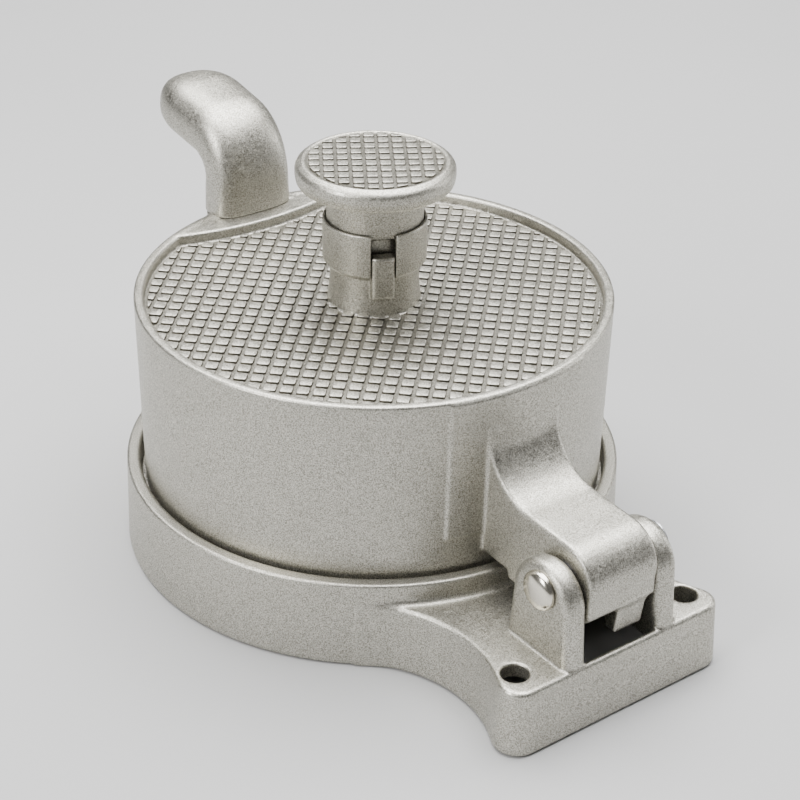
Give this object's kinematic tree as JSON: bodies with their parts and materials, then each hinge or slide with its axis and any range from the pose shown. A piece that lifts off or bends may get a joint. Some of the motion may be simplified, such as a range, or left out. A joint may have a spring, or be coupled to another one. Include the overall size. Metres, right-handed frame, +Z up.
{
  "type": "hinged patty press",
  "caption": "Round hinged food press: tray base with a bench-screw plate, swing-up mould lid with handle, and a spring-returned plunger with a textured knob.",
  "frame": {"origin": "middle of the bounding box's bottom face, on the surface that the press stands on", "axes": "+Z up, +Y towards the hinge and the bench screws, -Y towards the lid's handle, +X to the side of the hinge pin's domed head"},
  "size_m": [0.1316, 0.1956, 0.1054],
  "materials": {
    "cast_aluminium": "blasted casting",
    "polished_steel": "polished",
    "zinc_steel": "zinc plated",
    "black_steel": "blackened",
    "bronze": "turned",
    "nylon": "moulded",
    "rubber": "matt"
  },
  "bodies": {
    "base": {"base_casting": "cast_aluminium", "hinge_pin": "polished_steel", "pin_retainer": "zinc_steel", "hinge_washers": "black_steel"},
    "lid": {"lid_casting": "cast_aluminium", "lid_handle": "cast_aluminium", "handle_screws": "zinc_steel", "stem_bush": "bronze", "spring_seat": "zinc_steel", "return_spring": "zinc_steel"},
    "collar": {"stop_collar": "cast_aluminium", "thrust_washer": "nylon"},
    "plunger": {"knob": "cast_aluminium", "knob_grub_screw": "black_steel", "plunger_stem": "polished_steel", "stem_clip": "black_steel", "stop_washer": "rubber", "press_plate": "cast_aluminium", "plate_lock_washer": "zinc_steel", "plate_screw": "zinc_steel"}
  },
  "joints": [
    {"name": "lid_hinge", "type": "hinge", "parent": "base", "child": "lid", "pos_m": [0, 0.08573, 0.0357], "axis": [-1, 0, 0], "range_deg": [0, 100]},
    {"name": "plunger_slide", "type": "slide", "parent": "lid", "child": "collar", "axis": [0, 0, -1], "range_m": [0, 0.005], "stiffness_N_per_m": 800, "springref_m": -0.006, "deforming": ["return_spring"]},
    {"name": "knob_turn", "type": "hinge", "parent": "collar", "child": "plunger", "pos_m": [0, -0.00357, 0.09], "axis": [0, 0, 1], "continuous": true}
  ]
}
